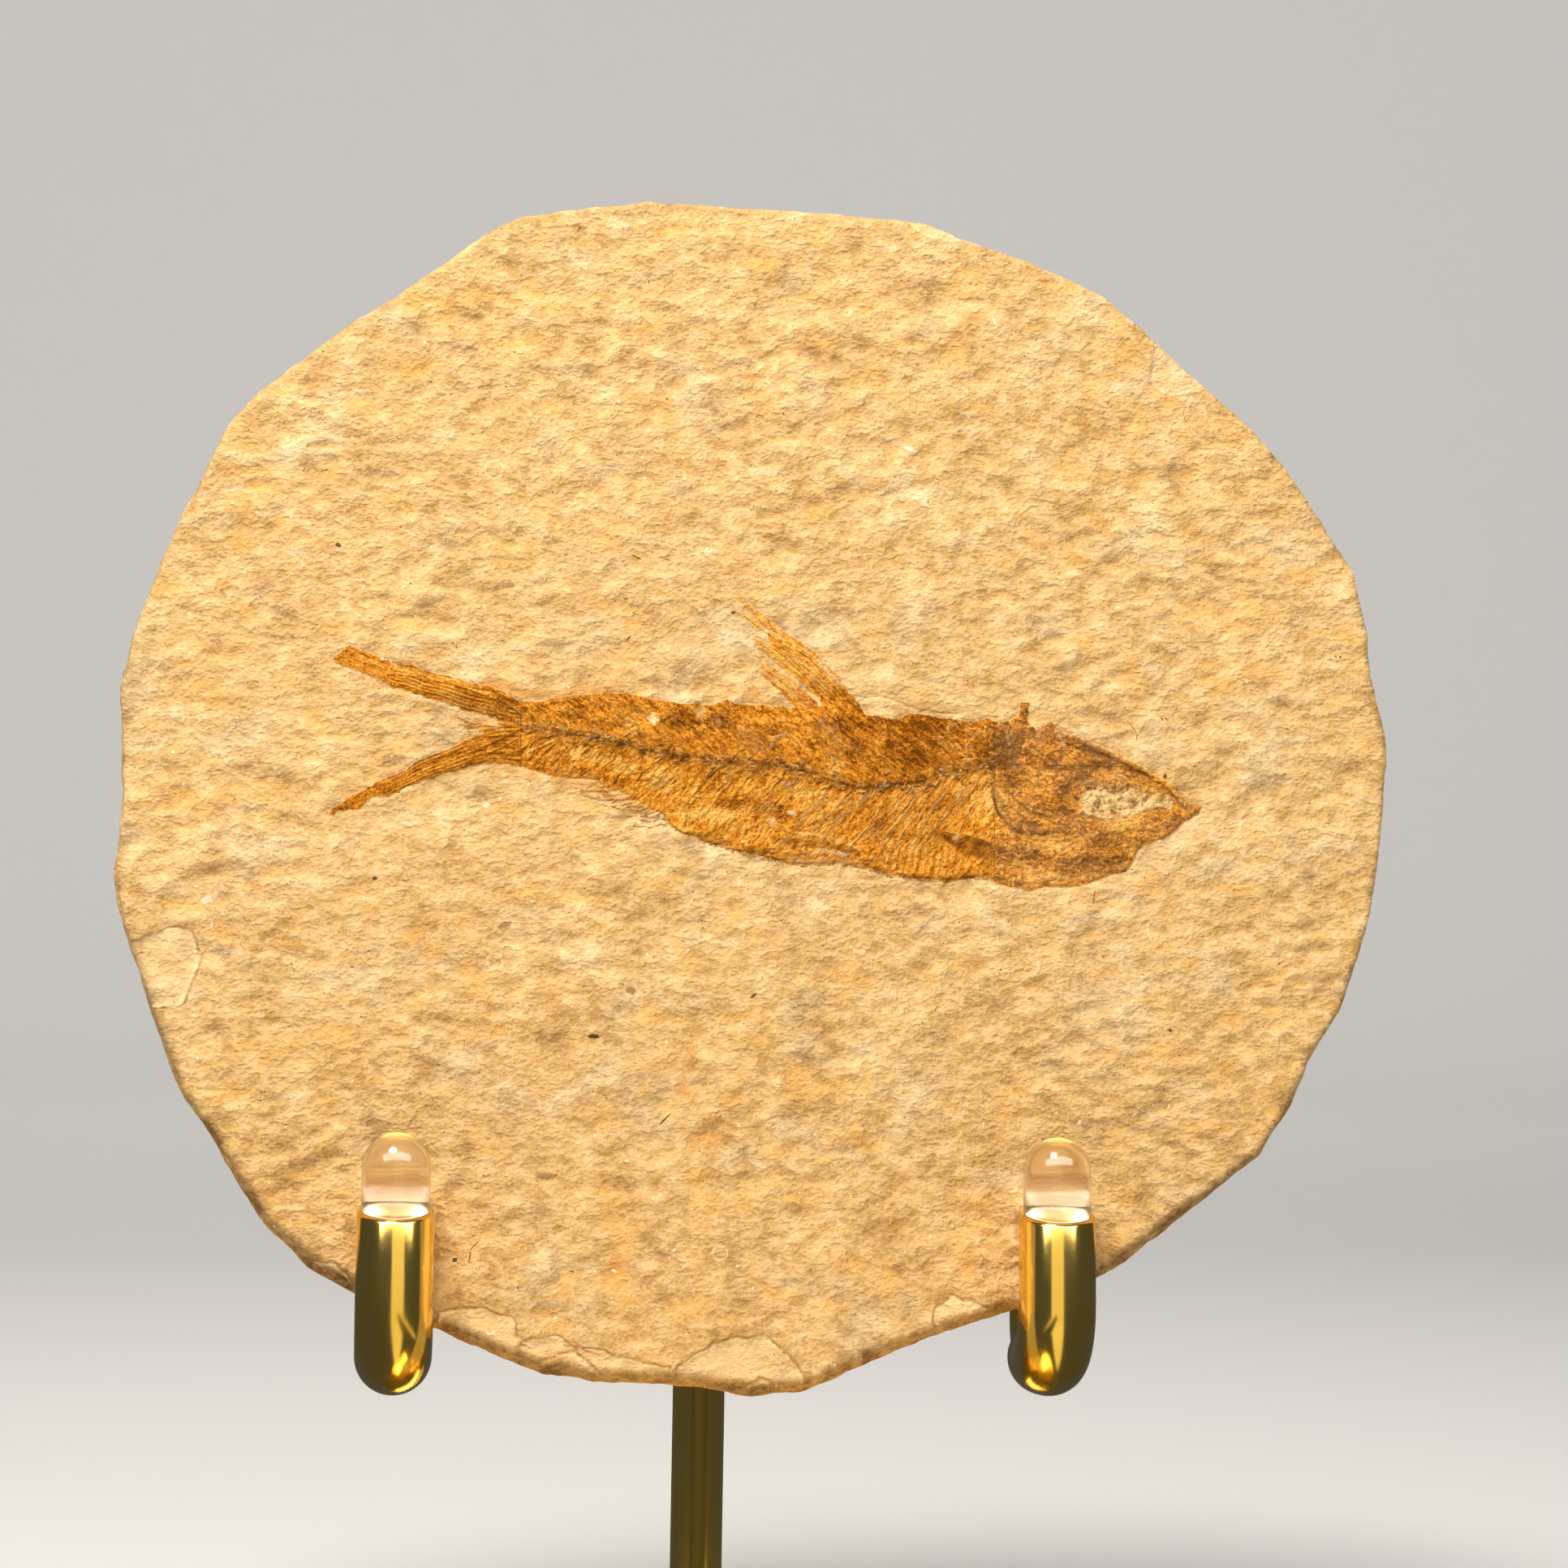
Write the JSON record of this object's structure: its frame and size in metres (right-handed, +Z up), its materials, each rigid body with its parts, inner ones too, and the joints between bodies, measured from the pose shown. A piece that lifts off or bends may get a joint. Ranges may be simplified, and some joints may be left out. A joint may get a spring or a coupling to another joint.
{
  "type": "fossil fish slab on display stand",
  "caption": "Broken limestone slab with a whole fossil fish in its face, held upright by the clear-tipped hooks of a brass display stand with a round foot.",
  "frame": {"origin": "under the middle of the foot, on the surface that the stand rests on, below the stem's axis", "axes": "+Z up along the stem, -Y out of the slab's face towards the viewer, +X to the viewer's right, where the fish's head points"},
  "size_m": [0.1321, 0.076, 0.1613],
  "materials": {
    "limestone": "matte",
    "fossil_bone": "satin",
    "brass": "polished",
    "clear_tip": "gloss"
  },
  "bodies": {
    "root": {"limestone_slab": "limestone", "fossil_fish": "fossil_bone", "foot": "brass", "stem": "brass", "left_hook": "brass", "right_hook": "brass", "left_tip": "clear_tip", "right_tip": "clear_tip"}
  },
  "joints": []
}
